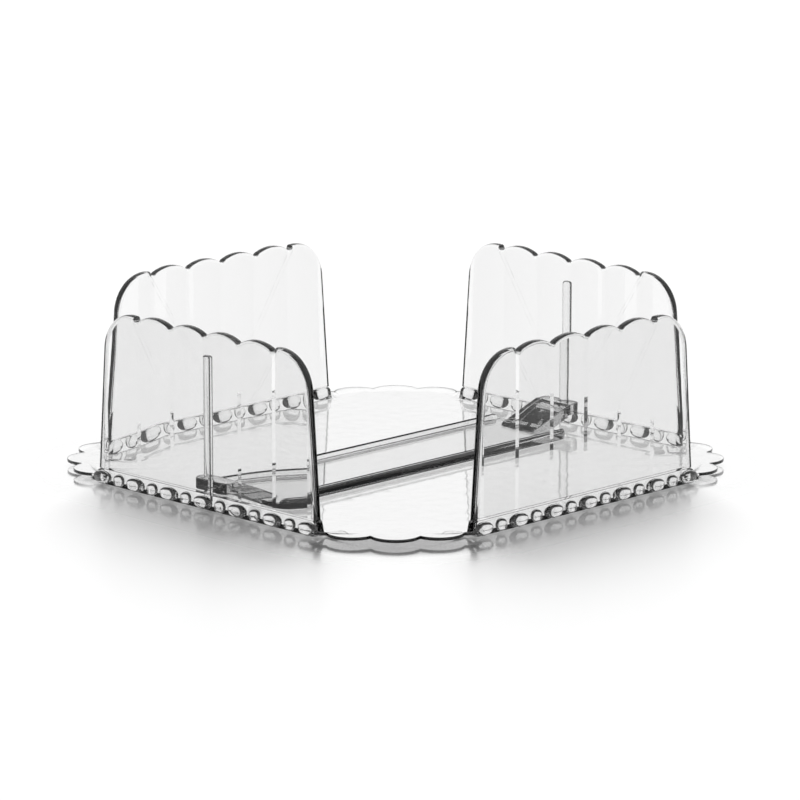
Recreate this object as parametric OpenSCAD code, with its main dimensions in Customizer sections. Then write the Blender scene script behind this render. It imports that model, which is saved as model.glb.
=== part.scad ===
// Napkin holder in clear plastic: a square tray with a scalloped rim and a kerb along each side, four
// upright fluted walls on the kerbs, two guide rods and a press bar that rides on them.
// Lengths are in millimetres. The tray stands on z = 0, +Z is up, and the press bar runs along X,
// between the left and right walls, which carry the guide rods.

/* [Tray] */
// Width and depth of the tray across the tips of its rim lobes
tray_w = 183; // [176:1:215]
// Corner radius of the tray, measured at the lobe tips
tray_corner_r = 42; // [37:1:48]
// Height of the rim's top above the table
rim_h = 2.5; // [2.2:0.1:4]
// Thickness of the rim
rim_t = 1.5; // [1.2:0.1:1.9]
// Height of the kerb that carries each wall, above the rim
kerb_h = 2.9; // [2.4:0.1:5]
// Distance from the rim's edge in to the side of the kerbs
kerb_inset = 0.6; // [0.3:0.1:1]
// Width of the kerbs' tops inside the walls
kerb_land = 0.8; // [0.4:0.1:1.5]
// Radius of the small bead in each notch of a kerb
bead_r = 2.4; // [1.6:0.1:2.8]
// Thickness of the tray floor
floor_t = 1; // [0.8:0.1:1.5]
// Radius of each rim lobe
lobe_r = 8.6; // [7:0.1:9.4]
// Depth of the notches between the rim lobes along a side
lobe_notch = 3.5; // [2:0.1:4.2]
// Width of the rim from the walls' inner faces in to the edge of the recessed floor
rim_land = 4.1; // [3.2:0.1:8]
// Corner radius of the recessed floor
recess_corner_r = 33; // [26:1:40]
// Lobes along each side of the tray
lobes_per_side = 7; // [5:1:9]
// Angle between the three lobes round each corner of the tray
lobe_turn = 24.5; // [20:0.5:28]

/* [Walls] */
// Height of each wall above its kerb
wall_h = 55; // [42:1:90]
// Width of each wall at its base
wall_w = 104.6; // [96:0.2:112]
// Thickness of each wall at the crest of a flute
wall_t = 3.2; // [2.8:0.1:4.4]
// Distance from the tips of the rim lobes in to the walls' outer faces
wall_setback = 2.7; // [1.5:0.1:4]
// Radius of the walls' top corners
wall_corner_r = 13.5; // [9:0.1:18]
// Drop from the wall's top to the top of its corner arcs
corner_drop = 0.7; // [0:0.1:1.5]
// Amount by which each side edge leans in from the base to the top corner
wall_lean = 3.1; // [0.5:0.1:5]
// Flutes across each wall
flutes = 6; // [4:1:8]
// Depth of the valleys between the flutes
flute_depth = 0.4; // [0.3:0.05:1]
// Rise of each lobe of the top edge above its notches
top_rise = 2.2; // [1:0.1:3]
// Plain margin at each side edge, beside the flutes
wall_margin = 3.55; // [2:0.05:6]

/* [Guide rods] */
// Diameter of each guide rod
rod_d = 3.4; // [2.8:0.1:3.8]
// Drop from the top of the walls to the top of the rods
rod_drop = 8.9; // [5:0.1:20]
// Depth by which each rod is let into its wall
rod_sunk = 1.5; // [0.6:0.05:1.6]
// Depth of the rod's socket in the rim
rod_foot = 0.9; // [0.6:0.1:1]

/* [Press bar] */
// Room on the floor between each end of the bar's flat plate and the edge of the recess
bar_end_room = 12.5; // [10:0.5:26]
// Width of the bar's flat plate
bar_w = 35.6; // [26:0.2:60]
// Thickness of the bar's flat plate
bar_t = 1.7; // [1.4:0.1:3]
// Height of the lips along the plate's long edges, above the plate
lip_h = 1.5; // [0.8:0.1:3]
// Width of the lips
lip_w = 2.2; // [1.4:0.1:3.4]
// Corner radius of the plate
bar_corner_r = 5; // [2:0.1:8]
// Width of the arms and fork heads at the ends of the bar
fork_w = 16; // [10:0.5:22]
// Height of the fork heads
fork_h = 3.8; // [2.4:0.1:6]
// Length of the fork heads along the bar
fork_l = 6; // [4:0.1:8]
// Height of the fork heads' undersides above the kerbs
fork_lift = 0.3; // [0.3:0.1:4]

/* [Hidden] */
$fn = 96;
// Steps of the flutes' circles, which are large for the short arcs that they give
flute_fn = 480;

// Cuts run past the faces that they open by this much
overrun = 1;

// Fits: bonded joints, the rods in their seats, the forks on the rods, and the bar's ends at the walls
bond_gap = 0.1;
rod_seat_gap = 0.05;
fork_gap = 0.25;
bar_end_gap = 0.3;

// Tabs under each wall, which drop into slots in its kerb behind two of the lobes
tab_l = 10;
tab_t = 1.5;
tab_d = 2.4;
tab_lobe = 2;

// Small roundings, and the chamfer round the top of a rod
notch_r = 1.4;
fork_corner_r = 3;
rod_tip = 0.5;

// Reach of the arms' roots in over the plate, and the wall of the tray's foot round the recess
arm_root = 9;
foot_wall = 2;

// Places across the holder
tray_half = tray_w / 2;
wall_outer = tray_half - wall_setback;
wall_inner = wall_outer - wall_t;
recess_half = wall_inner - rim_land;
notch_half = tray_half - lobe_notch;
foot_half = recess_half + foot_wall;

// Heights
rim_under = rim_h - rim_t;
kerb_top = rim_h + kerb_h;
wall_top = kerb_top + wall_h;
rod_top = wall_top - rod_drop;
rod_base = rim_h - rod_foot;
bar_top = floor_t + bar_t;
fork_under = kerb_top + fork_lift;
fork_top = fork_under + fork_h;

// Rim lobes: the straight run of a side, and the arc that the corner lobes' centres follow
side_half = tray_half - tray_corner_r;
lobe_pitch = 2 * side_half / (lobes_per_side - 1);
lobe_line = tray_half - lobe_r;
lobe_arc_r = tray_corner_r - lobe_r;

// Flutes and the lobes of the walls' top edge share one pitch
flute_pitch = (wall_w - 2 * wall_margin) / flutes;
flute_r = arc_radius(flute_pitch, flute_depth);
top_r = arc_radius(flute_pitch, top_rise);

// Top corners of a wall, and where each side edge runs into its corner's arc
corner_x = wall_w / 2 - wall_lean - wall_corner_r;
corner_z = wall_h - corner_drop - wall_corner_r;
edge_to_centre = [corner_x - wall_w / 2, corner_z];
edge_angle = atan2(edge_to_centre.y, edge_to_centre.x) - asin(wall_corner_r / norm(edge_to_centre));
edge_l = sqrt(edge_to_centre * edge_to_centre - wall_corner_r * wall_corner_r);
edge_end = [wall_w / 2 + edge_l * cos(edge_angle), edge_l * sin(edge_angle)];

// Plate, rods and forks along the bar
bar_l = 2 * (recess_half - bar_end_room);
rod_r = rod_d / 2;
rod_x = wall_inner + rod_sunk - rod_r;
fork_end = wall_inner - bar_end_gap;
fork_start = fork_end - fork_l;
arm_start = bar_l / 2 - arm_root;

clear_tray = [0.90, 0.92, 0.93, 0.45];
clear_wall = [0.93, 0.95, 0.96, 0.35];
clear_rod = [0.80, 0.83, 0.85, 0.60];
clear_bar = [0.84, 0.87, 0.89, 0.55];

// Radius of the arc that spans a chord and stands the given rise above it
function arc_radius(chord, rise) = (chord * chord / 4 + rise * rise) / (2 * rise);

// Place of flute number k along its wall
function flute_s(k) = (k - (flutes - 1) / 2) * flute_pitch;

module rounded_rect(size_x, size_y, r) {
    square([size_x, size_y - 2 * r], center = true);
    square([size_x - 2 * r, size_y], center = true);
    for (side_x = [-1, 1], side_y = [-1, 1])
        translate([side_x * (size_x / 2 - r), side_y * (size_y / 2 - r)])
            circle(r);
}

// The lobes along one side of the tray, drawn in by an inset
module side_lobes(inset) {
    for (k = [0:lobes_per_side - 1])
        translate([k * lobe_pitch - side_half, lobe_line])
            circle(lobe_r - inset);
}

// Outline of the rim: a rounded square with lobes along its sides and round its corners
module rim_outline() {
    rounded_rect(2 * notch_half, 2 * notch_half, tray_corner_r);
    for (quarter = [0:3])
        rotate(quarter * 90) {
            side_lobes(0);
            for (k = [-1:1])
                translate([side_half, side_half])
                    rotate(45 + k * lobe_turn)
                        translate([lobe_arc_r, 0])
                            circle(lobe_r);
        }
}

// Outline of the kerb along the +Y side: lobes with a small bead between each two, as wide as the wall
module kerb_outline() {
    intersection() {
        translate([-wall_w / 2, wall_inner - kerb_land])
            square([wall_w, tray_half]);
        union() {
            translate([-wall_w / 2, 0])
                square([wall_w, notch_half - kerb_inset]);
            side_lobes(kerb_inset);
            for (k = [1:lobes_per_side - 1])
                translate([(k - 1 / 2) * lobe_pitch - side_half, notch_half - kerb_inset])
                    circle(bead_r);
        }
    }
}

// Everything at one wall: faces +Y, with the wall's inner face on y = 0 and the kerb's top on z = 0
module at_wall(turn) {
    rotate(turn)
        translate([0, wall_inner, kerb_top])
            children();
}

// The two tabs under a wall, grown by a gap to make their slots
module tabs(gap) {
    for (side = [-1, 1])
        translate([side * tab_lobe * lobe_pitch, (wall_t - flute_depth) / 2, -(tab_d + gap) / 2])
            cube([tab_l + 2 * gap, tab_t + 2 * gap, tab_d + gap], center = true);
}

// A rod's cylinder, grown by a gap to make its socket and its groove
module rod_shape(gap) {
    translate([rod_x, 0, rod_base])
        cylinder(r = rod_r + gap, h = rod_top - rod_base + gap);
}

module tray() {
    color(clear_tray)
        difference() {
            union() {
                translate([0, 0, rim_under])
                    linear_extrude(rim_t)
                        rim_outline();
                for (quarter = [0:3])
                    rotate(quarter * 90)
                        translate([0, 0, rim_under])
                            linear_extrude(rim_t + kerb_h)
                                kerb_outline();
                linear_extrude(rim_h)
                    rounded_rect(2 * foot_half, 2 * foot_half, recess_corner_r + foot_wall);
            }
            translate([0, 0, floor_t])
                linear_extrude(kerb_top)
                    rounded_rect(2 * recess_half, 2 * recess_half, recess_corner_r);
            for (quarter = [0:3])
                at_wall(quarter * 90)
                    union() {
                        tabs(bond_gap);
                        translate([0, 0, overrun])
                            tabs(bond_gap);
                    }
            for (turn = [0, 180])
                rotate(turn)
                    rod_shape(rod_seat_gap);
        }
}

// Cross-section of a wall from above: flat inside, fluted outside
module wall_plan() {
    translate([-wall_w / 2, 0])
        square([wall_w, wall_t - flute_depth]);
    intersection() {
        translate([-wall_w / 2, 0])
            square([wall_w, wall_t]);
        for (k = [0:flutes - 1])
            translate([flute_s(k), wall_t - flute_r])
                circle(flute_r, $fn = flute_fn);
    }
}

// Outline of a wall from the front: sides that lean in, round corners and a lobed top edge
module wall_outline() {
    difference() {
        union() {
            polygon([[-wall_w / 2, 0], [wall_w / 2, 0], edge_end, [corner_x, corner_z],
                     [-corner_x, corner_z], [-edge_end.x, edge_end.y]]);
            for (side = [-1, 1])
                translate([side * corner_x, corner_z])
                    circle(wall_corner_r);
            for (k = [1:flutes - 2])
                translate([flute_s(k), wall_h - top_r])
                    circle(top_r);
        }
        for (k = [1:flutes - 1])
            translate([flute_s(k) - flute_pitch / 2, wall_h - top_rise + notch_r])
                circle(notch_r);
    }
}

module wall_panel() {
    intersection() {
        linear_extrude(wall_h + overrun)
            wall_plan();
        translate([0, wall_t + overrun, 0])
            rotate([90, 0, 0])
                linear_extrude(wall_t + 2 * overrun)
                    wall_outline();
    }
    tabs(0);
}

// A wall with the groove that its guide rod lies in
module grooved_wall(turn) {
    difference() {
        at_wall(turn)
            wall_panel();
        rotate(turn + 90)
            rod_shape(rod_seat_gap);
    }
}

module wall_left() {
    color(clear_wall)
        grooved_wall(90);
}

module wall_right() {
    color(clear_wall)
        grooved_wall(270);
}

module wall_front() {
    color(clear_wall)
        at_wall(180)
            wall_panel();
}

module wall_back() {
    color(clear_wall)
        at_wall(0)
            wall_panel();
}

// A guide rod with a small chamfer round its top
module guide_rod() {
    translate([rod_x, 0, rod_base])
        cylinder(r = rod_r, h = rod_top - rod_base - rod_tip);
    translate([rod_x, 0, rod_top - rod_tip])
        cylinder(r1 = rod_r, r2 = rod_r - rod_tip, h = rod_tip);
}

module guide_rod_left() {
    color(clear_rod)
        rotate(180)
            guide_rod();
}

module guide_rod_right() {
    color(clear_rod)
        guide_rod();
}

// An arm that climbs from the plate to its fork head over the kerb
module fork_arm() {
    intersection() {
        translate([0, fork_w / 2, 0])
            rotate([90, 0, 0])
                linear_extrude(fork_w)
                    polygon([[arm_start, floor_t], [bar_l / 2, floor_t], [fork_start, fork_under],
                             [fork_end, fork_under], [fork_end, fork_top], [fork_start, fork_top],
                             [arm_start, bar_top]]);
        translate([(arm_start + fork_end) / 2, 0, 0])
            linear_extrude(fork_top + overrun)
                rounded_rect(fork_end - arm_start, fork_w, fork_corner_r);
    }
}

module press_bar() {
    color(clear_bar)
        difference() {
            union() {
                translate([0, 0, floor_t])
                    linear_extrude(bar_t)
                        rounded_rect(bar_l, bar_w, bar_corner_r);
                translate([0, 0, floor_t])
                    linear_extrude(bar_t + lip_h)
                        difference() {
                            rounded_rect(bar_l, bar_w, bar_corner_r);
                            square([bar_l + overrun, bar_w - 2 * lip_w], center = true);
                        }
                for (turn = [0, 180])
                    rotate(turn)
                        fork_arm();
            }
            for (turn = [0, 180])
                rotate(turn)
                    translate([rod_x, 0, fork_under - overrun])
                        linear_extrude(fork_h + 2 * overrun) {
                            circle(rod_r + fork_gap);
                            translate([0, -rod_r - fork_gap])
                                square([fork_end - rod_x + overrun, 2 * (rod_r + fork_gap)]);
                        }
        }
}

tray();
wall_left();
wall_right();
wall_front();
wall_back();
guide_rod_left();
guide_rod_right();
press_bar();
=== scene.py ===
"""Clear plastic napkin holder: the looks of its tray, walls, guide rods and press bar.

Lengths are in metres. The holder stands on z = 0 with +Z up, and its press bar runs along X.
"""

import math

import bmesh
import bpy
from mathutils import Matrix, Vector


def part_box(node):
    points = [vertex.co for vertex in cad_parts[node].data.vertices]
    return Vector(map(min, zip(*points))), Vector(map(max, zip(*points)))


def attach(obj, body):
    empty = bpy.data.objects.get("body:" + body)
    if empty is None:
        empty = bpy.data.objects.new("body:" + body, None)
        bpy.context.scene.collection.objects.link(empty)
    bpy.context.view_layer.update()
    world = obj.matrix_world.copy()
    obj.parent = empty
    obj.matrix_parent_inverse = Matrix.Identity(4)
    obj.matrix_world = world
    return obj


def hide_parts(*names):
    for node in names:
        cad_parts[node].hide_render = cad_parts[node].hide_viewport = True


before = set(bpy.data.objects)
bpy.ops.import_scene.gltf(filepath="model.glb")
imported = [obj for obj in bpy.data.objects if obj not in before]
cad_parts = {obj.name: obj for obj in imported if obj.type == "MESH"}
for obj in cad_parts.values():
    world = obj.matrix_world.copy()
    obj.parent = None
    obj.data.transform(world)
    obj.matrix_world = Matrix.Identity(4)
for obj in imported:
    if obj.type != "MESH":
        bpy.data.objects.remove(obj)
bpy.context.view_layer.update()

# Sizes that the frame gives
tray_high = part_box("tray")[1]
wall_low, wall_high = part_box("wall_back")
rod_low, rod_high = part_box("guide_rod_right")
TRAY_HALF = tray_high[0]
KERB_TOP = tray_high[2]
WALL_W = wall_high[0] - wall_low[0]
WALL_H = wall_high[2] - KERB_TOP
WALL_INNER = wall_low[1]
WALL_T = wall_high[1] - wall_low[1]
ROD_X = (rod_low[0] + rod_high[0]) / 2
ROD_R = (rod_high[0] - rod_low[0]) / 2
ROD_TOP = rod_high[2]

# Tray: its outline, its lobed rim, and its floor in a recess that ends inside the walls
TRAY_CORNER_R = 0.042
RIM_TOP = 0.00245
RIM_T = 0.00105
LOBE_R = 0.0086
LOBES_PER_SIDE = 7
CORNER_LOBES = 3
LOBE_TURN = math.radians(24.5)
FLOOR_T = 0.001
RECESS_EDGE = 0.0041
RECESS_HALF = WALL_INNER - RECESS_EDGE
RECESS_CORNER_R = 0.033

# Half of the arc that a lobe shows beside a bead, beside a corner and round a corner
BESIDE_BEAD = math.radians(48)
BESIDE_CORNER = math.radians(53.8)
ROUND_CORNER = math.radians(67.8)

# Half of the way along the rim that a lobe takes beside a bead, beside a corner and round a corner
BEAD_SIDE = 0.00626
CORNER_SIDE = math.radians(10.25)
CORNER_TURN = LOBE_TURN / 2

# Beads along the kerbs: how far their middles are inside the tray's side, their height and half sizes
BEAD_BACK = 0.0021
BEAD_Z = 0.0026
BIG_BEAD = (0.0041, 0.0021, 0.00225)
SMALL_BEAD = (0.0021, 0.002, 0.00215)

# Kerbs under the walls: the land inside a wall, and half of the slope at each end of a kerb
KERB_LAND = 0.0008
KERB_END = 0.0007

# Dish of the floor at the corners: how far it reaches in, and how far from a kerb it is full
DISH_FLAT = 0.02
DISH_END = 0.02

# Roundings of the tray's edges, and the narrow strips that keep the faces beside them flat
RIM_ROUND = 0.0002
UNDER_ROUND = 0.0002
KERB_ROUND = 0.0003
STRIP = 0.0001

# Walls: the lobes on each half of the top edge, the flutes under them, round corners and leaning sides
WALL_LOBES = 2
FLUTE_PITCH = 0.01625
FLUTE_DEPTH = 0.0003
TOP_RISE = 0.0022
NOTCH_R = 0.0014
WALL_CORNER_R = 0.0135
CORNER_DROP = 0.0007
WALL_LEAN = 0.0031
WALL_ROUND = 0.0012

# Guide rods
ROD_FOOT = 0.0025
ROD_ROUND = 0.0008

# Press bar: the rounding of its lips' edges, the share of it elsewhere, and where the lips begin
BAR_ROUND = 0.00095
SMALL_SHARE = 0.3
LIP_SIDE = 0.015
LIP_LEVEL = 0.004

# Thin line of air at a bonded face, and under the bar where it lies on the floor
BOND = 0.00004

# Clear plastic: its tint, how it bends light, its polish and fine haze
TINT = (0.985, 0.985, 0.985, 1.0)
BENDING = 1.49
POLISH = 0.004
HAZE = 0.012
HAZE_SCALE = 900.0
HAZE_DETAIL = 1.0

# Relief of the plastic: faint ripples everywhere, stronger on the walls, and cells on the tray
RIPPLE = 0.00001
WALL_RIPPLE = 0.00002
RIPPLE_SCALE = 60.0
RIPPLE_DETAIL = 2.0
CELL_DEPTH = 0.00002
CELLS_PER_METRE = 130.0
CELL_SOFTNESS = 0.4
CELL_SCATTER = 0.55

# Studio: light from all round, the lamp with its azimuth and elevation, and the table
AMBIENT = 0.2
LAMP = 3.75
LAMP_SPREAD = math.radians(45)
LAMP_PLACE = (135, 45)
TABLE_HALF = 4.0
TABLE_LEVEL = -0.0002
TABLE_GREY = 0.92
TABLE_ROUGHNESS = 0.35
TABLE_GLOW = 0.06
# Brightness of the table as the plastic shows it beyond the rim, and its painted shade under the tray
TABLE_BRIGHT = 1.08
PAINTED_SHADE_UNDER_TRAY = 0.95

# Polished zone of the table beside the tray's corners, and the painted shadow that greys its colour at the
# front corner
MIRROR = 0.8
MIRROR_ROUGHNESS = 0.1
MIRROR_END = (0.004, 0.03)
MIRROR_CORNER = (0.0, 0.01)
PAINTED_SHADE_GREY = 0.4
PAINTED_SHADE_END = (0.005, 0.013)
PAINTED_SHADE_FRONT = (0.1, 0.14)

# What is dark to rays that were turned back inside the plastic, or leave it steeply up or sideways
DARK = 0.05
CEILING = (0.5, 0.7)
SIDE_CARDS = (0.8, 1.1)

# Camera: where it looks, its distance, azimuth and elevation, and its lens and sensor in millimetres
AIM = Vector((0.0, 0.0, 0.02254))
VIEW_DISTANCE = 1.6423
VIEW_PLACE = (-45, 12.92)
LENS = 217.3
SENSOR = 36.0
SHIFT_X = 0.0056
NEAREST = 0.05

# Finish of the meshes: steps along each repeat, and steps round an edge
LOBE_STEPS = 18
BEAD_STEPS = 8
BALL_SEGMENTS = 32
BALL_RINGS = 20
DISH_STEPS = 12
LOBE_COLUMNS = 28
CORNER_COLUMNS = 36
ROUND_STEPS = 5
BEVEL_STEPS = 4
ROD_STEPS = 48

# First step round a wall's top corner, as a share of the mean step there
CORNER_START = 0.35

# Points this near are one, faces this flat are one, and edges sharper than the last angle stay sharp
TINY = 1e-6
FLAT_ANGLE = math.radians(0.5)
SMOOTH_ANGLE = math.radians(28)

QUARTER_TURN = math.pi / 2


class Value:
    """A socket of a node tree. Sums and comparisons on it add Math nodes to the tree."""

    def __init__(self, tree, socket):
        self.tree = tree
        self.socket = socket

    def out(self, name):
        return Value(self.tree, self.socket.node.outputs[name])

    def math(self, operation, *others):
        return self.tree.math(operation, self, *others)

    def __add__(self, other):
        return self.math("ADD", other)

    def __radd__(self, other):
        return self.tree.math("ADD", other, self)

    def __sub__(self, other):
        return self.math("SUBTRACT", other)

    def __rsub__(self, other):
        return self.tree.math("SUBTRACT", other, self)

    def __mul__(self, other):
        return self.math("MULTIPLY", other)

    def __rmul__(self, other):
        return self.tree.math("MULTIPLY", other, self)

    def __truediv__(self, other):
        return self.math("DIVIDE", other)

    def __rtruediv__(self, other):
        return self.tree.math("DIVIDE", other, self)

    def __neg__(self):
        return self.tree.math("SUBTRACT", 0.0, self)

    def __abs__(self):
        return self.math("ABSOLUTE")

    def __gt__(self, other):
        return self.math("GREATER_THAN", other)

    def __lt__(self, other):
        return self.math("LESS_THAN", other)


class Tree:
    """A node tree that is written as expressions on its Values."""

    def __init__(self, node_tree):
        self.nodes = node_tree.nodes
        self.links = node_tree.links

    def add(self, kind, settings=None, sockets=None):
        """Adds a node: its settings come first, then the values or links of its sockets."""
        node = self.nodes.new(kind)
        for name, setting in (settings or {}).items():
            if name == "items":
                for _ in range(setting - len(node.index_switch_items)):
                    node.index_switch_items.new()
            else:
                setattr(node, name, setting)
        for key, given in (sockets or {}).items():
            if isinstance(given, Value):
                self.links.new(given.socket, node.inputs[key])
            else:
                node.inputs[key].default_value = given
        return Value(self, node.outputs[0]) if node.outputs else None

    def math(self, operation, *values):
        return self.add("ShaderNodeMath", {"operation": operation}, dict(enumerate(values)))

    def root(self, value):
        """Square root, and 0 where the value is negative."""
        return self.math("SQRT", self.math("MAXIMUM", value, 0.0))

    def ease(self, value, low, high):
        """Runs smoothly from 0 at low to 1 at high."""
        sockets = {"Value": value, "From Min": low, "From Max": high}
        return self.add("ShaderNodeMapRange", {"interpolation_type": "SMOOTHSTEP"}, sockets)

    def split(self, vector):
        parts = self.add("ShaderNodeSeparateXYZ", sockets={0: vector})
        return parts, parts.out("Y"), parts.out("Z")

    def join(self, x, y, z):
        return self.add("ShaderNodeCombineXYZ", sockets={0: x, 1: y, 2: z})


class Shape(Tree):
    """A Geometry Nodes tree with named sizes, which makes one kind of piece."""

    def __init__(self, name, size_names):
        self.group = bpy.data.node_groups.new(name, "GeometryNodeTree")
        super().__init__(self.group)
        self.group.interface.new_socket("Mesh", in_out="OUTPUT", socket_type="NodeSocketGeometry")
        for size_name in size_names:
            self.group.interface.new_socket(size_name, in_out="INPUT", socket_type="NodeSocketFloat")
        given = self.nodes.new("NodeGroupInput")
        self.sizes = [Value(self, given.outputs[size_name]) for size_name in size_names]

    def pick(self, index, choices):
        """The choice that the whole number index names."""
        sockets = {"Index": index}
        sockets.update({place + 1: choice for place, choice in enumerate(choices)})
        settings = {"data_type": "FLOAT", "items": len(choices)}
        return self.add("GeometryNodeIndexSwitch", settings, sockets)

    def grid(self, columns, rows):
        """A grid mesh, with the number of each point's column and row."""
        sockets = {"Size X": 1.0, "Size Y": 1.0, "Vertices X": columns + 1, "Vertices Y": rows + 1}
        mesh = self.add("GeometryNodeMeshGrid", sockets=sockets)
        across, along, _ = self.split(self.add("GeometryNodeInputPosition"))
        column = self.math("ROUND", (across + 0.5) * columns)
        row = self.math("ROUND", (along + 0.5) * rows)
        return mesh, column, row

    def turned(self, x, y, z, angle):
        """A place that is turned about the upright axis."""
        cosine = self.math("COSINE", angle)
        sine = self.math("SINE", angle)
        return self.join(x * cosine - y * sine, x * sine + y * cosine, z)

    def place(self, mesh, position):
        return self.add("GeometryNodeSetPosition", sockets={"Geometry": mesh, "Position": position})

    def close(self, mesh):
        """Joins the points that meet at seams and poles."""
        return self.add("GeometryNodeMergeByDistance", sockets={"Geometry": mesh, "Distance": TINY})

    def both(self, first, second):
        joined = self.add("GeometryNodeJoinGeometry", sockets={"Geometry": first})
        self.links.new(second.socket, joined.socket.node.inputs["Geometry"])
        return joined

    def finish(self, mesh, material):
        mesh = self.add("GeometryNodeRealizeInstances", sockets={"Geometry": mesh})
        mesh = self.add("GeometryNodeSetMaterial", sockets={"Geometry": mesh, "Material": material})
        self.add("NodeGroupOutput", sockets={"Mesh": mesh})
        return self


def new_object(name, data):
    thing = bpy.data.objects.new(name, data)
    bpy.context.scene.collection.objects.link(thing)
    return thing


def round_edges(piece, width):
    """Rounds the edges that carry a bevel weight."""
    bevel = piece.modifiers.new("round edges", "BEVEL")
    bevel.width = width
    bevel.segments = BEVEL_STEPS
    bevel.limit_method = "WEIGHT"
    bevel.use_clamp_overlap = False
    bevel.miter_outer = "MITER_ARC"
    bevel.harden_normals = True


def settle(piece):
    """Makes the result of a piece's modifiers its plain mesh."""
    graph = bpy.context.evaluated_depsgraph_get()
    mesh = bpy.data.meshes.new_from_object(piece.evaluated_get(graph), depsgraph=graph)
    piece.modifiers.clear()
    piece.data = mesh
    mesh.name = piece.name


def face_outwards(mesh):
    work = bmesh.new()
    work.from_mesh(mesh)
    bmesh.ops.recalc_face_normals(work, faces=work.faces)
    work.to_mesh(mesh)
    work.free()


def shade(mesh):
    mesh.shade_smooth()
    mesh.set_sharp_from_angle(angle=SMOOTH_ANGLE)


def make_piece(name, shape, sizes):
    """Runs a shape with these sizes and gives the piece."""
    piece = new_object(name, bpy.data.meshes.new(name))
    modifier = piece.modifiers.new("shape", "NODES")
    modifier.node_group = shape.group
    inputs = [item for item in shape.group.interface.items_tree if item.in_out == "INPUT"]
    for item in inputs:
        modifier[item.identifier] = sizes[item.name]
    settle(piece)
    face_outwards(piece.data)
    shade(piece.data)
    return piece


def quarter_round(radius):
    """Pairs of how far a quarter round is from its two tangents, from the first tangent to the second."""
    angles = [QUARTER_TURN * step / ROUND_STEPS for step in range(ROUND_STEPS + 1)]
    return [(radius * (1 - math.sin(a)), radius * (1 - math.cos(a))) for a in angles]


def smooth(share):
    """Runs smoothly from 0 to 1."""
    return share * share * (3 - 2 * share)


def tray_rings(top, under, floor, kerb_top, kerb_in, kerb_out):
    """Profile of the tray, from the middle of its underside round the rim to the middle of its floor.

    A ring has whether it follows the recess, its inset and height, its inset and height on a kerb, its share
    of the width, and its height beside a kerb.
    """
    steps = [step / DISH_STEPS for step in range(DISH_STEPS)]
    dish = [(DISH_FLAT - step * (kerb_in + DISH_FLAT), smooth(step)) for step in steps]
    rings = [(1, DISH_FLAT, 0.0, DISH_FLAT, 0.0, 0), (1, DISH_FLAT, 0.0, DISH_FLAT, 0.0, 0.5)]
    rings += [(1, inset, under * rise, inset, 0.0, 1) for inset, rise in dish]
    rings += [(1, -kerb_in, under, -kerb_in, 0.0, 1)]
    under_rings = len(rings)

    # Outer edge of the rim, and outer face of the kerbs
    rings += [(0, UNDER_ROUND + STRIP, under, KERB_ROUND + STRIP - kerb_out, 0.0, 1)]
    pairs = zip(quarter_round(UNDER_ROUND), quarter_round(KERB_ROUND))
    for (inset, rise), (kerb_inset, kerb_rise) in pairs:
        rings.append((0, inset, under + rise, kerb_inset - kerb_out, kerb_rise, 1))
    pairs = zip(quarter_round(RIM_ROUND), quarter_round(KERB_ROUND))
    for (fall, inset), (kerb_fall, kerb_inset) in pairs:
        rings.append((0, inset, top - fall, kerb_inset - kerb_out, kerb_top - kerb_fall, 1))
    rings += [(0, RIM_ROUND + STRIP, top, KERB_ROUND + STRIP - kerb_out, kerb_top, 1)]

    # Inner face of the kerbs, and the floor
    back = -kerb_in - KERB_ROUND - STRIP
    rings += [(1, back, top, back, kerb_top, 1)]
    for out, fall in quarter_round(KERB_ROUND):
        rings.append((1, -kerb_in - out, top, -kerb_in - out, kerb_top - fall, 1))
    foot = STRIP - kerb_in
    rings += [(1, -kerb_in, top, -kerb_in, floor + STRIP, 1), (1, foot, top, foot, floor, 1)]
    rings += [(1, inset, floor + (top - floor) * rise, inset, floor, 1) for inset, rise in reversed(dish)]
    rings += [(1, DISH_FLAT, floor, DISH_FLAT, floor, 0.5), (1, DISH_FLAT, floor, DISH_FLAT, floor, 0)]

    # Beside a kerb the corner's rings lie as low as the floor, so that the dish fades out there
    lows = []
    for number, (follows, _, height, *_) in enumerate(rings):
        level = 0.0 if number < under_rings else floor
        lows.append(level if follows else height)
    return [(*ring, low) for ring, low in zip(rings, lows)]


def tray_beads(shape, half, side, bead_back, bead_z):
    """Beads along the kerbs: a big one at each lobe and a small one between two lobes."""
    per_side = 2 * LOBES_PER_SIDE - 1
    line = shape.add("GeometryNodeMeshLine", sockets={"Count": 4 * per_side})
    number = shape.add("GeometryNodeInputIndex")
    quarter = shape.math("FLOOR", number / per_side)
    number = number - quarter * per_side
    small = shape.math("MODULO", number, 2.0)
    along = (number - (per_side - 1) / 2) * (side / (LOBES_PER_SIDE - 1))
    facing = quarter * -QUARTER_TURN
    points = shape.place(line, shape.turned(along, half - bead_back, bead_z, facing))
    sizes = [big + small * (less - big) for big, less in zip(BIG_BEAD, SMALL_BEAD)]
    ball = shape.add("GeometryNodeMeshUVSphere", sockets={
        "Segments": BALL_SEGMENTS, "Rings": BALL_RINGS, "Radius": 1.0})
    return shape.add("GeometryNodeInstanceOnPoints", sockets={
        "Points": points, "Instance": ball, "Rotation": shape.join(0.0, 0.0, facing),
        "Scale": shape.join(*sizes)})


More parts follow.
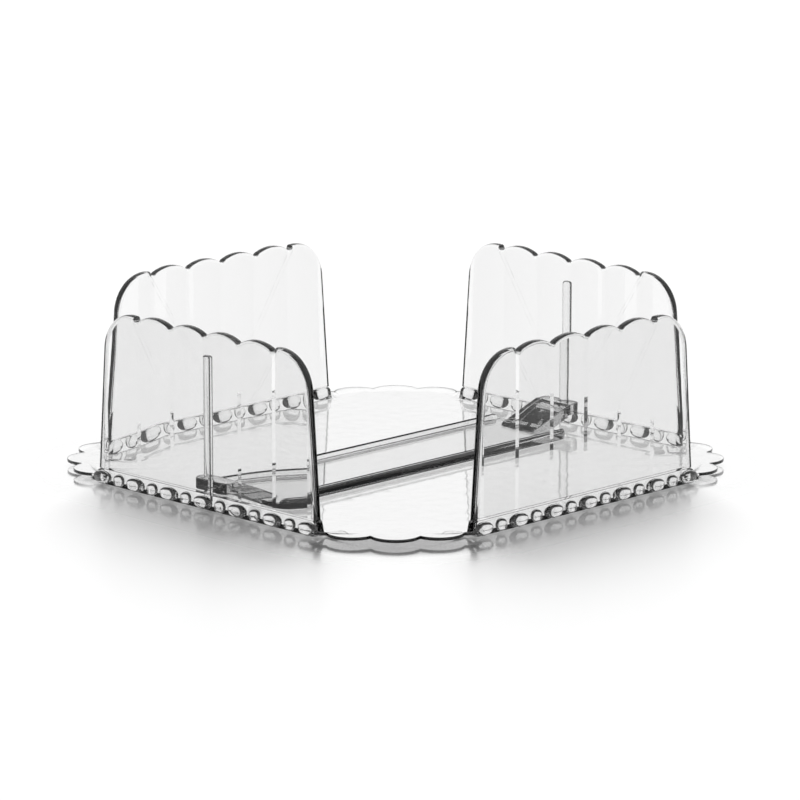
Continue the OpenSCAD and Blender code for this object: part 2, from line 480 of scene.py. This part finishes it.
def tray_shape(material):
    """Tray: its rings of points, which run round its four quarters, and the beads along its kerbs."""
    shape = Shape("scalloped_tray", [
        "Half width", "Corner radius", "Rim height", "Rim thickness", "Floor", "Kerb height", "Kerb half",
        "Kerb inside", "Kerb outside", "Lobe radius", "Bead back", "Bead height", "Recess half",
        "Recess corner radius"])
    (half, corner_r, top, rim_t, floor, kerb_h, kerb_half, kerb_in, kerb_out, lobe_r, bead_back, bead_z,
     recess, recess_r) = shape.sizes
    rings = tray_rings(top, top - rim_t, floor, top + kerb_h, kerb_in, kerb_out)
    period = LOBE_STEPS + BEAD_STEPS
    per_quarter = LOBES_PER_SIDE + CORNER_LOBES
    mesh, column, row = shape.grid(4 * per_quarter * period, len(rings) - 1)
    picked = [shape.pick(row, choices) for choices in zip(*rings)]
    follows, inset, height, kerb_inset, kerb_height, share, low = picked

    # Place round the rim: the lobe, the angle on it from the way that it points, and the bead after it
    lobe = shape.math("FLOOR", column / period)
    step = column - lobe * period
    swing = shape.math("MINIMUM", step * (2 / LOBE_STEPS) - 1, 1.0)
    lobe = shape.math("MODULO", lobe, 4 * per_quarter)
    quarter = shape.math("FLOOR", lobe / per_quarter)
    number = lobe - quarter * per_quarter
    on_corner = number > LOBES_PER_SIDE - 0.5
    bead_after = number < LOBES_PER_SIDE - 1.5
    middle = LOBES_PER_SIDE + 1
    wide = (swing > 0) * on_corner * (number < middle + 0.5) + (swing < 0) * (number > middle - 0.5)
    narrow = (swing > 0) * bead_after + (swing < 0) * (number > 0.5) * (1 - on_corner)
    points = on_corner * (QUARTER_TURN / 2 + (number - middle) * LOBE_TURN)
    reach = BESIDE_CORNER + wide * (ROUND_CORNER - BESIDE_CORNER) + narrow * (BESIDE_BEAD - BESIDE_CORNER)
    angle = points + swing * reach
    on_bead = (step > LOBE_STEPS + 0.5) * bead_after

    # Middle of the lobe
    side = half - corner_r
    last = (LOBES_PER_SIDE - 1) / 2
    lobe_x = shape.math("MINIMUM", number - last, last) * (side / last)
    arc = corner_r - lobe_r
    centre_x = lobe_x + arc * shape.math("SINE", points)
    centre_y = side + arc * shape.math("COSINE", points)

    # The same place on the plain tray without lobes
    bend = points + swing * (1 - narrow) * (CORNER_SIDE + wide * (CORNER_TURN - CORNER_SIDE))
    past_lobe = (step - LOBE_STEPS) * ((side / (2 * last) - BEAD_SIDE) * 2 / BEAD_STEPS) * on_bead
    plain_x = lobe_x + swing * narrow * BEAD_SIDE + past_lobe + corner_r * shape.math("SINE", bend)
    plain_y = side + corner_r * shape.math("COSINE", bend)

    # Lobed outline of the rim, drawn in by the ring's inset
    on_kerb = 1 - shape.ease(abs(plain_x), kerb_half - KERB_END, kerb_half + KERB_END)
    inset = inset + on_kerb * (kerb_inset - inset)
    follows = shape.math("MAXIMUM", follows, on_kerb)
    rim_x = centre_x + (lobe_r - inset) * shape.math("SINE", angle)
    rim_y = centre_y + (lobe_r - inset) * shape.math("COSINE", angle)

    # Outline of the recess, at the point nearest to the plain tray's
    core = recess - recess_r
    core_x = shape.math("MINIMUM", shape.math("MAXIMUM", plain_x, -core), core)
    core_y = shape.math("MINIMUM", plain_y, core)
    reach_x = plain_x - core_x
    reach_y = plain_y - core_y
    scale = (recess_r - inset) / shape.root(reach_x * reach_x + reach_y * reach_y)
    recess_x = core_x + reach_x * scale
    recess_y = core_y + reach_y * scale

    # Place of the point, in the quarter that the lobe belongs to
    x = (rim_x + follows * (recess_x - rim_x)) * share
    y = (rim_y + follows * (recess_y - rim_y)) * share
    clear_x = shape.ease(abs(plain_x), kerb_half, kerb_half + DISH_END)
    clear_y = shape.ease(plain_y, kerb_half, kerb_half + DISH_END)
    height = low + shape.math("MINIMUM", clear_x, clear_y) * (height - low)
    z = height + on_kerb * (kerb_height - height)
    position = shape.turned(x, y, z, quarter * -QUARTER_TURN)
    tray = shape.close(shape.place(mesh, position))
    beads = tray_beads(shape, half, side, bead_back, bead_z)
    return shape.finish(shape.both(beads, tray), material)


def wall_shape(material):
    """Wall: rings of points run from its inner face round its edge to its outer face."""
    shape = Shape("lobed_wall", [
        "Width", "Height", "Thickness", "Inner face", "Base", "Lobe pitch", "Top rise", "Notch radius",
        "Corner radius", "Lean", "Turn"])
    width, height, thick, inner, base, pitch, rise, notch_r, corner_r, lean, facing = shape.sizes

    # Profile: how far a ring is inside the outline, its depth from the inner face, its share of the face
    face = WALL_ROUND + STRIP
    rings = [(face, 0.0, 0), (face, 0.0, 1)]
    rings += [(inset, depth, 1) for inset, depth in quarter_round(WALL_ROUND)]
    rings += [(inset, thick - depth, 1) for depth, inset in quarter_round(WALL_ROUND)]
    rings += [(face, thick, 1), (face, thick, 0)]
    lobe_columns = WALL_LOBES * LOBE_COLUMNS
    half_columns = lobe_columns + CORNER_COLUMNS + 2
    mesh, column, row = shape.grid(2 * half_columns, len(rings) - 1)
    inset, depth, share = (shape.pick(row, choices) for choices in zip(*rings))

    # Place along the outline: over the lobes from the middle, round the corner, down the side, to the base
    far = abs(column - half_columns)
    steps = shape.math("MINIMUM", far, lobe_columns) / LOBE_COLUMNS
    lobe = shape.math("MINIMUM", shape.math("FLOOR", steps), WALL_LOBES - 1)
    local = shape.math("SINE", (steps - lobe - 0.5) * math.pi) * (pitch / 2)
    along = (lobe + 0.5) * pitch + local
    turning = shape.math("MINIMUM", (far - lobe_columns) / CORNER_COLUMNS, 1.0)
    on_corner = far > lobe_columns + 0.5
    at_foot = far > lobe_columns + CORNER_COLUMNS + 0.5
    under_base = far > half_columns - 0.5

    # Round top corner, which the leaning side edge meets
    corner_x = width / 2 - lean - corner_r
    corner_z = height - CORNER_DROP - corner_r
    to_centre_x = corner_x - width / 2
    gap = shape.root(to_centre_x * to_centre_x + corner_z * corner_z)
    to_centre = shape.math("ARCTAN2", corner_z, to_centre_x)
    edge_turn = to_centre - shape.math("ARCSINE", corner_r / gap) - QUARTER_TURN
    first_turn = shape.math("ARCCOSINE", (WALL_LOBES * pitch - corner_x) / corner_r)
    eased = turning * (CORNER_START + (1 - CORNER_START) * turning)
    corner_turn = first_turn + (edge_turn - first_turn) * eased
    arc_x = corner_x + (corner_r - inset) * shape.math("COSINE", corner_turn)
    arc_z = corner_z + (corner_r - inset) * shape.math("SINE", corner_turn)

    # Lobes of the top edge, and the round notches between them
    top_r = (pitch * pitch / 4 + rise * rise) / (2 * rise)
    lobe_z = height - top_r + shape.root(top_r * top_r - local * local) - inset
    x = along + on_corner * (arc_x - along)
    z = lobe_z + on_corner * (arc_z - lobe_z)
    from_notch = abs(x - shape.math("ROUND", x / pitch) * pitch)
    notch_z = height - rise + notch_r - shape.root(notch_r * notch_r - from_notch * from_notch) - inset
    in_notch = (from_notch < notch_r) * (x < (WALL_LOBES + 0.5) * pitch)
    z = z - in_notch * shape.math("MAXIMUM", z - notch_z, 0.0)

    # Foot of the side edge, and the middle of the base
    x = (x + at_foot * (width / 2 - inset - x)) * (1 - under_base)
    x = shape.math("SIGN", column - half_columns) * x * share
    z = z * (1 - at_foot) * share
    position = shape.turned(x, inner + depth, base + z, facing)
    return shape.finish(shape.close(shape.place(mesh, position)), material)


def rod_shape(material):
    """Guide rod: rings from the middle of its foot to the middle of its round tip."""
    shape = Shape("guide_rod", ["Radius", "Foot", "Top", "Place"])
    radius, foot, top, place = shape.sizes
    rings = [(0.0, foot), (radius - STRIP, foot), (radius, foot + STRIP)]
    rings += [(radius - inset, top - fall) for fall, inset in quarter_round(ROD_ROUND)]
    rings += [(0.0, top)]
    mesh, column, row = shape.grid(ROD_STEPS, len(rings) - 1)
    reach, height = (shape.pick(row, choices) for choices in zip(*rings))
    turn = column * (2 * math.pi / ROD_STEPS)
    x = place + reach * shape.math("COSINE", turn)
    y = reach * shape.math("SINE", turn)
    mesh = shape.place(mesh, shape.join(x, y, height))
    return shape.finish(shape.close(mesh), material)


def press_bar(name, material):
    """Press bar: its own solid, with the edges rounded as a moulding's are."""
    work = bmesh.new()
    work.from_mesh(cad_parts["press_bar"].data)
    bmesh.ops.remove_doubles(work, verts=work.verts, dist=TINY)
    bmesh.ops.dissolve_limit(work, angle_limit=FLAT_ANGLE, verts=work.verts, edges=work.edges)
    weight = work.edges.layers.float.new("bevel_weight_edge")
    for edge in work.edges:
        if edge.is_convex and edge.calc_face_angle(0.0) > SMOOTH_ANGLE:
            on_lip = all(abs(end.co.y) > LIP_SIDE and end.co.z > LIP_LEVEL for end in edge.verts)
            edge[weight] = 1.0 if on_lip else SMALL_SHARE
    mesh = bpy.data.meshes.new(name)
    work.to_mesh(mesh)
    work.free()
    mesh.materials.clear()
    mesh.materials.append(material)
    for face in mesh.polygons:
        face.material_index = 0
    shade(mesh)
    piece = new_object(name, mesh)
    round_edges(piece, BAR_ROUND)
    settle(piece)
    return piece


def clear_plastic(name, absorbs, lets_lamps, ripple, cells=0.0, flutes=0.0):
    """Clear moulded plastic: faint ripples, cells or flutes, and a grey that grows with the way through it.

    absorbs is the grey for each metre, and lets_lamps is the share of the lamps' light that goes through.
    """
    material = bpy.data.materials.new(name)
    material.use_nodes = True
    tree = Tree(material.node_tree)
    tree.nodes.clear()
    place = tree.add("ShaderNodeTexCoord").out("Object")
    flow = tree.add("ShaderNodeTexNoise", sockets={
        "Vector": place, "Scale": RIPPLE_SCALE, "Detail": RIPPLE_DETAIL})
    fine = tree.add("ShaderNodeTexNoise", sockets={
        "Vector": place, "Scale": HAZE_SCALE, "Detail": HAZE_DETAIL})
    normal = tree.add("ShaderNodeBump", sockets={"Strength": 1.0, "Distance": ripple, "Height": flow})
    if cells:
        relief = tree.add("ShaderNodeTexVoronoi", {"feature": "SMOOTH_F1", "voronoi_dimensions": "2D"}, {
            "Vector": place, "Scale": CELLS_PER_METRE, "Smoothness": CELL_SOFTNESS,
            "Randomness": CELL_SCATTER})
        normal = tree.add("ShaderNodeBump", sockets={
            "Strength": 1.0, "Distance": cells, "Height": relief, "Normal": normal})
    if flutes:
        across, along, _ = tree.split(place)
        off_x = tree.math("FRACT", across / FLUTE_PITCH) - 0.5
        off_y = tree.math("FRACT", along / FLUTE_PITCH) - 0.5
        swell = 1 - 4 * (off_x * off_x + off_y * off_y)
        normal = tree.add("ShaderNodeBump", sockets={
            "Strength": 1.0, "Distance": flutes, "Height": swell, "Normal": normal})
    glass = tree.add("ShaderNodeBsdfPrincipled", sockets={
        "Base Color": TINT, "Roughness": POLISH + HAZE * fine, "IOR": BENDING, "Transmission Weight": 1.0,
        "Normal": normal})
    clear = tree.add("ShaderNodeBsdfTransparent", sockets={"Color": (*[lets_lamps] * 3, 1.0)})
    rays = tree.add("ShaderNodeLightPath")
    surface = tree.add("ShaderNodeMixShader", sockets={0: rays.out("Is Diffuse Ray"), 1: glass, 2: clear})
    surface = tree.add("ShaderNodeMixShader", sockets={0: rays.out("Is Shadow Ray"), 1: surface, 2: clear})
    inside = tree.add("ShaderNodeVolumeAbsorption", sockets={
        "Color": (0.0, 0.0, 0.0, 1.0), "Density": absorbs})
    tree.add("ShaderNodeOutputMaterial", sockets={"Surface": surface, "Volume": inside})
    return material


def table_finish():
    """Pale polished table, which is dark to the rays that were turned back inside the plastic's edges."""
    material = bpy.data.materials.new("pale_table")
    material.use_nodes = True
    tree = Tree(material.node_tree)
    tree.nodes.clear()
    across, along, _ = tree.split(tree.add("ShaderNodeTexCoord").out("Object"))
    past_x = tree.math("MAXIMUM", abs(across) - (TRAY_HALF - TRAY_CORNER_R), 0.0)
    past_y = tree.math("MAXIMUM", abs(along) - (TRAY_HALF - TRAY_CORNER_R), 0.0)
    past_rim = tree.root(past_x * past_x + past_y * past_y) - TRAY_CORNER_R
    beside_rim = 1 - tree.ease(past_rim, *MIRROR_END)
    at_corner = tree.ease(tree.math("MINIMUM", past_x, past_y), *MIRROR_CORNER)
    # Painted shadow: the table's colour is greyed just in front of the front corner's rim, where its contact
    # shadow falls
    in_front = tree.ease(-(across + along), *PAINTED_SHADE_FRONT)
    painted_shade = at_corner * in_front * (1 - tree.ease(past_rim, *PAINTED_SHADE_END))
    grey = TABLE_GREY + (PAINTED_SHADE_GREY - TABLE_GREY) * painted_shade
    matt = tree.add("ShaderNodeBsdfPrincipled", sockets={
        "Base Color": tree.join(grey, grey, grey), "Metallic": MIRROR * at_corner * beside_rim,
        "Roughness": TABLE_ROUGHNESS + (MIRROR_ROUGHNESS - TABLE_ROUGHNESS) * beside_rim})
    glow = tree.add("ShaderNodeEmission", sockets={"Strength": TABLE_GLOW})
    seen = tree.add("ShaderNodeAddShader", sockets={0: matt, 1: glow})

    # What the plastic shows of the table, with painted shade that makes it dimmer under the tray than beyond
    # the rim, and what rays see that were turned back once inside it
    brightness = PAINTED_SHADE_UNDER_TRAY + (past_rim > 0) * (TABLE_BRIGHT - PAINTED_SHADE_UNDER_TRAY)
    bright = tree.add("ShaderNodeEmission", sockets={"Color": tree.join(brightness, brightness, brightness)})
    dark = tree.add("ShaderNodeEmission", sockets={"Strength": DARK})
    rays = tree.add("ShaderNodeLightPath")
    turned_back = (abs(rays.out("Glossy Depth") - 1) < 0.5) * (rays.out("Transmission Depth") > 0.5)
    through = rays.out("Is Transmission Ray")
    surface = tree.add("ShaderNodeMixShader", sockets={0: through, 1: seen, 2: bright})
    surface = tree.add("ShaderNodeMixShader", sockets={0: turned_back, 1: surface, 2: dark})
    tree.add("ShaderNodeOutputMaterial", sockets={"Surface": surface})
    return material


def lay_table():
    mesh = bpy.data.meshes.new("table")
    corners = ((-1, -1), (1, -1), (1, 1), (-1, 1))
    mesh.from_pydata([(x * TABLE_HALF, y * TABLE_HALF, TABLE_LEVEL) for x, y in corners], [], [(0, 1, 2, 3)])
    mesh.materials.append(table_finish())
    new_object("table", mesh)


def light_surroundings():
    """White surroundings, which look dark from inside the plastic, upwards, sideways or after two turns."""
    world = bpy.data.worlds.new("studio")
    bpy.context.scene.world = world
    world.use_nodes = True
    tree = Tree(world.node_tree)
    tree.nodes.clear()
    rays = tree.add("ShaderNodeLightPath")
    shown = tree.math("MAXIMUM", rays.out("Is Camera Ray"), rays.out("Is Glossy Ray"))
    shown = tree.math("MAXIMUM", shown, rays.out("Is Transmission Ray"))
    right, back, up = tree.split(tree.add("ShaderNodeTexCoord").out("Generated"))
    unlit = tree.math("MAXIMUM", rays.out("Glossy Depth") > 1.5, tree.ease(up, *CEILING))
    unlit = tree.math("MAXIMUM", unlit, tree.ease(abs(right - back), *SIDE_CARDS))
    unlit = unlit * (rays.out("Transmission Depth") > 0.5)
    strength = AMBIENT + shown * (1 - AMBIENT - unlit * (1 - DARK))
    sky = tree.add("ShaderNodeBackground", sockets={"Color": (1.0, 1.0, 1.0, 1.0), "Strength": strength})
    tree.add("ShaderNodeOutputWorld", sockets={"Surface": sky})


def towards(azimuth, elevation):
    """Way from the holder to a place: azimuth 0 is on the -Y side and 90 is on the +X side."""
    turn = math.radians(azimuth)
    lift = math.radians(elevation)
    return Vector((math.sin(turn) * math.cos(lift), -math.cos(turn) * math.cos(lift), math.sin(lift)))


def hang_lamp():
    """Soft light from behind the holder."""
    lamp = bpy.data.lights.new("back_light", "SUN")
    lamp.energy = LAMP
    lamp.angle = LAMP_SPREAD
    back_light = new_object("back_light", lamp)
    back_light.visible_glossy = False
    back_light.visible_transmission = False
    back_light.rotation_euler = towards(*LAMP_PLACE).to_track_quat("Z", "Y").to_euler()


def set_camera():
    camera = bpy.data.cameras.new("camera")
    camera.lens = LENS
    camera.sensor_width = SENSOR
    camera.shift_x = SHIFT_X
    camera.clip_start = NEAREST
    view = new_object("camera", camera)
    view.location = AIM + VIEW_DISTANCE * towards(*VIEW_PLACE)
    view.rotation_euler = towards(*VIEW_PLACE).to_track_quat("Z", "Y").to_euler()
    bpy.context.scene.camera = view
    bpy.context.scene.view_settings.view_transform = "Standard"


lay_table()
light_surroundings()
hang_lamp()
set_camera()

tray_plastic = clear_plastic("tray_plastic", absorbs=20.0, lets_lamps=0.7, ripple=RIPPLE, cells=CELL_DEPTH)
wall_plastic = clear_plastic("wall_plastic", absorbs=20.0, lets_lamps=0.5, ripple=WALL_RIPPLE,
                             flutes=FLUTE_DEPTH)
rod_plastic = clear_plastic("rod_plastic", absorbs=14.0, lets_lamps=0.8, ripple=RIPPLE)
bar_plastic = clear_plastic("bar_plastic", absorbs=30.0, lets_lamps=0.9, ripple=RIPPLE)

tray = make_piece("tray_clear", tray_shape(tray_plastic), {
    "Half width": TRAY_HALF, "Corner radius": TRAY_CORNER_R, "Rim height": RIM_TOP, "Rim thickness": RIM_T,
    "Floor": FLOOR_T - BOND, "Kerb height": KERB_TOP - RIM_TOP - BOND, "Kerb half": WALL_W / 2,
    "Kerb inside": WALL_INNER - KERB_LAND - RECESS_HALF, "Kerb outside": WALL_INNER + WALL_T - RECESS_HALF,
    "Lobe radius": LOBE_R, "Bead back": BEAD_BACK, "Bead height": BEAD_Z, "Recess half": RECESS_HALF,
    "Recess corner radius": RECESS_CORNER_R})
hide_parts("tray")
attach(tray, "base")

lobed_wall = wall_shape(wall_plastic)
for side, turn in (("left", 90), ("right", 270), ("front", 180), ("back", 0)):
    wall = make_piece(f"wall_{side}_clear", lobed_wall, {
        "Width": WALL_W, "Height": WALL_H, "Thickness": WALL_T, "Inner face": WALL_INNER, "Base": KERB_TOP,
        "Lobe pitch": FLUTE_PITCH, "Top rise": TOP_RISE, "Notch radius": NOTCH_R,
        "Corner radius": WALL_CORNER_R, "Lean": WALL_LEAN, "Turn": math.radians(turn)})
    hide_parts(f"wall_{side}")
    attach(wall, "base")

turned_rod = rod_shape(rod_plastic)
for side, place in (("left", -ROD_X), ("right", ROD_X)):
    rod = make_piece(f"guide_rod_{side}_clear", turned_rod, {
        "Radius": ROD_R, "Foot": ROD_FOOT, "Top": ROD_TOP, "Place": place})
    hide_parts(f"guide_rod_{side}")
    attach(rod, "base")

bar = press_bar("press_bar_clear", bar_plastic)
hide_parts("press_bar")
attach(bar, "bar")
